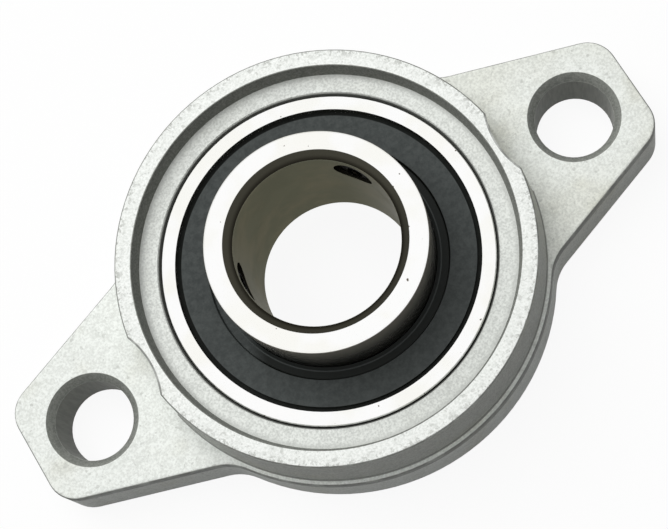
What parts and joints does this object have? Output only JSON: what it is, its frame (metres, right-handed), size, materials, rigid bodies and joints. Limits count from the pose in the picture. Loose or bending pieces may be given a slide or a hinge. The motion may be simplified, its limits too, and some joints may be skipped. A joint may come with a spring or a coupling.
{
  "type": "flange bearing unit",
  "caption": "Two-bolt rhombic flange housing with a self-aligning, sealed ball bearing insert; the long inner ring clamps a shaft with set screws.",
  "frame": {"origin": "centre of the mounting face, on the bore axis", "axes": "+X along the line of the bolt holes, +Z along the bore axis from the mounting face to the front of the inner ring"},
  "size_m": [0.0886, 0.055, 0.0225],
  "materials": {
    "housing_zinc": "die-cast zinc alloy, matt and finely grained",
    "ring_steel": "hardened bearing steel, ground faces",
    "ball_steel": "polished bearing steel",
    "cage_steel": "pressed steel sheet",
    "seal_rubber": "nitrile rubber, satin",
    "screw_steel": "blackened alloy steel"
  },
  "bodies": {
    "housing": {"housing": "housing_zinc"},
    "outer_race": {"outer_ring": "ring_steel", "front_seal": "seal_rubber", "rear_seal": "seal_rubber"},
    "inner_race": {"inner_ring": "ring_steel"},
    "cage": {"cage_front": "cage_steel", "cage_rear": "cage_steel", "cage_rivets": "cage_steel"},
    "ball_1": {"ball_1": "ball_steel"},
    "ball_2": {"ball_2": "ball_steel"},
    "ball_3": {"ball_3": "ball_steel"},
    "ball_4": {"ball_4": "ball_steel"},
    "ball_5": {"ball_5": "ball_steel"},
    "ball_6": {"ball_6": "ball_steel"},
    "ball_7": {"ball_7": "ball_steel"},
    "ball_8": {"ball_8": "ball_steel"},
    "ball_9": {"ball_9": "ball_steel"},
    "set_screw_1": {"set_screw_1": "screw_steel"},
    "set_screw_2": {"set_screw_2": "screw_steel"}
  },
  "joints": [
    {"name": "self_align", "type": "hinge", "parent": "housing", "child": "outer_race", "pos_m": [0, 0, 0.00775], "axis": [1, 0, 0], "range_deg": [-2.5, 2.5]},
    {"name": "inner_spin", "type": "hinge", "parent": "outer_race", "child": "inner_race", "pos_m": [0, 0, 0.00775], "axis": [0, 0, 1], "continuous": true},
    {"name": "cage_spin", "type": "hinge", "parent": "outer_race", "child": "cage", "pos_m": [0, 0, 0.00775], "axis": [0, 0, 1], "continuous": true},
    {"name": "ball_1_spin", "type": "hinge", "parent": "cage", "child": "ball_1", "pos_m": [0.0155, 0, 0.00775], "axis": [0, 0, 1], "continuous": true},
    {"name": "ball_2_spin", "type": "hinge", "parent": "cage", "child": "ball_2", "pos_m": [0.01187, 0.00996, 0.00775], "axis": [0, 0, 1], "continuous": true},
    {"name": "ball_3_spin", "type": "hinge", "parent": "cage", "child": "ball_3", "pos_m": [0.00269, 0.01526, 0.00775], "axis": [0, 0, 1], "continuous": true},
    {"name": "ball_4_spin", "type": "hinge", "parent": "cage", "child": "ball_4", "pos_m": [-0.00775, 0.01342, 0.00775], "axis": [0, 0, 1], "continuous": true},
    {"name": "ball_5_spin", "type": "hinge", "parent": "cage", "child": "ball_5", "pos_m": [-0.01457, 0.0053, 0.00775], "axis": [0, 0, 1], "continuous": true},
    {"name": "ball_6_spin", "type": "hinge", "parent": "cage", "child": "ball_6", "pos_m": [-0.01457, -0.0053, 0.00775], "axis": [0, 0, 1], "continuous": true},
    {"name": "ball_7_spin", "type": "hinge", "parent": "cage", "child": "ball_7", "pos_m": [-0.00775, -0.01342, 0.00775], "axis": [0, 0, 1], "continuous": true},
    {"name": "ball_8_spin", "type": "hinge", "parent": "cage", "child": "ball_8", "pos_m": [0.00269, -0.01526, 0.00775], "axis": [0, 0, 1], "continuous": true},
    {"name": "ball_9_spin", "type": "hinge", "parent": "cage", "child": "ball_9", "pos_m": [0.01187, -0.00996, 0.00775], "axis": [0, 0, 1], "continuous": true},
    {"name": "set_screw_1_feed", "type": "slide", "parent": "inner_race", "child": "set_screw_1", "axis": [-0.809, -0.5878, 0], "range_m": [-0.0016, 0.0016]},
    {"name": "set_screw_2_feed", "type": "slide", "parent": "inner_race", "child": "set_screw_2", "axis": [0.9877, -0.1564, 0], "range_m": [-0.0016, 0.0016]}
  ],
  "couplings": [
    {"joint": "cage_spin", "follows": "inner_spin", "ratio": 0.39758},
    {"joint": "ball_1_spin", "follows": "inner_spin", "ratio": -2.3385},
    {"joint": "ball_2_spin", "follows": "inner_spin", "ratio": -2.3385},
    {"joint": "ball_3_spin", "follows": "inner_spin", "ratio": -2.3385},
    {"joint": "ball_4_spin", "follows": "inner_spin", "ratio": -2.3385},
    {"joint": "ball_5_spin", "follows": "inner_spin", "ratio": -2.3385},
    {"joint": "ball_6_spin", "follows": "inner_spin", "ratio": -2.3385},
    {"joint": "ball_7_spin", "follows": "inner_spin", "ratio": -2.3385},
    {"joint": "ball_8_spin", "follows": "inner_spin", "ratio": -2.3385},
    {"joint": "ball_9_spin", "follows": "inner_spin", "ratio": -2.3385}
  ]
}
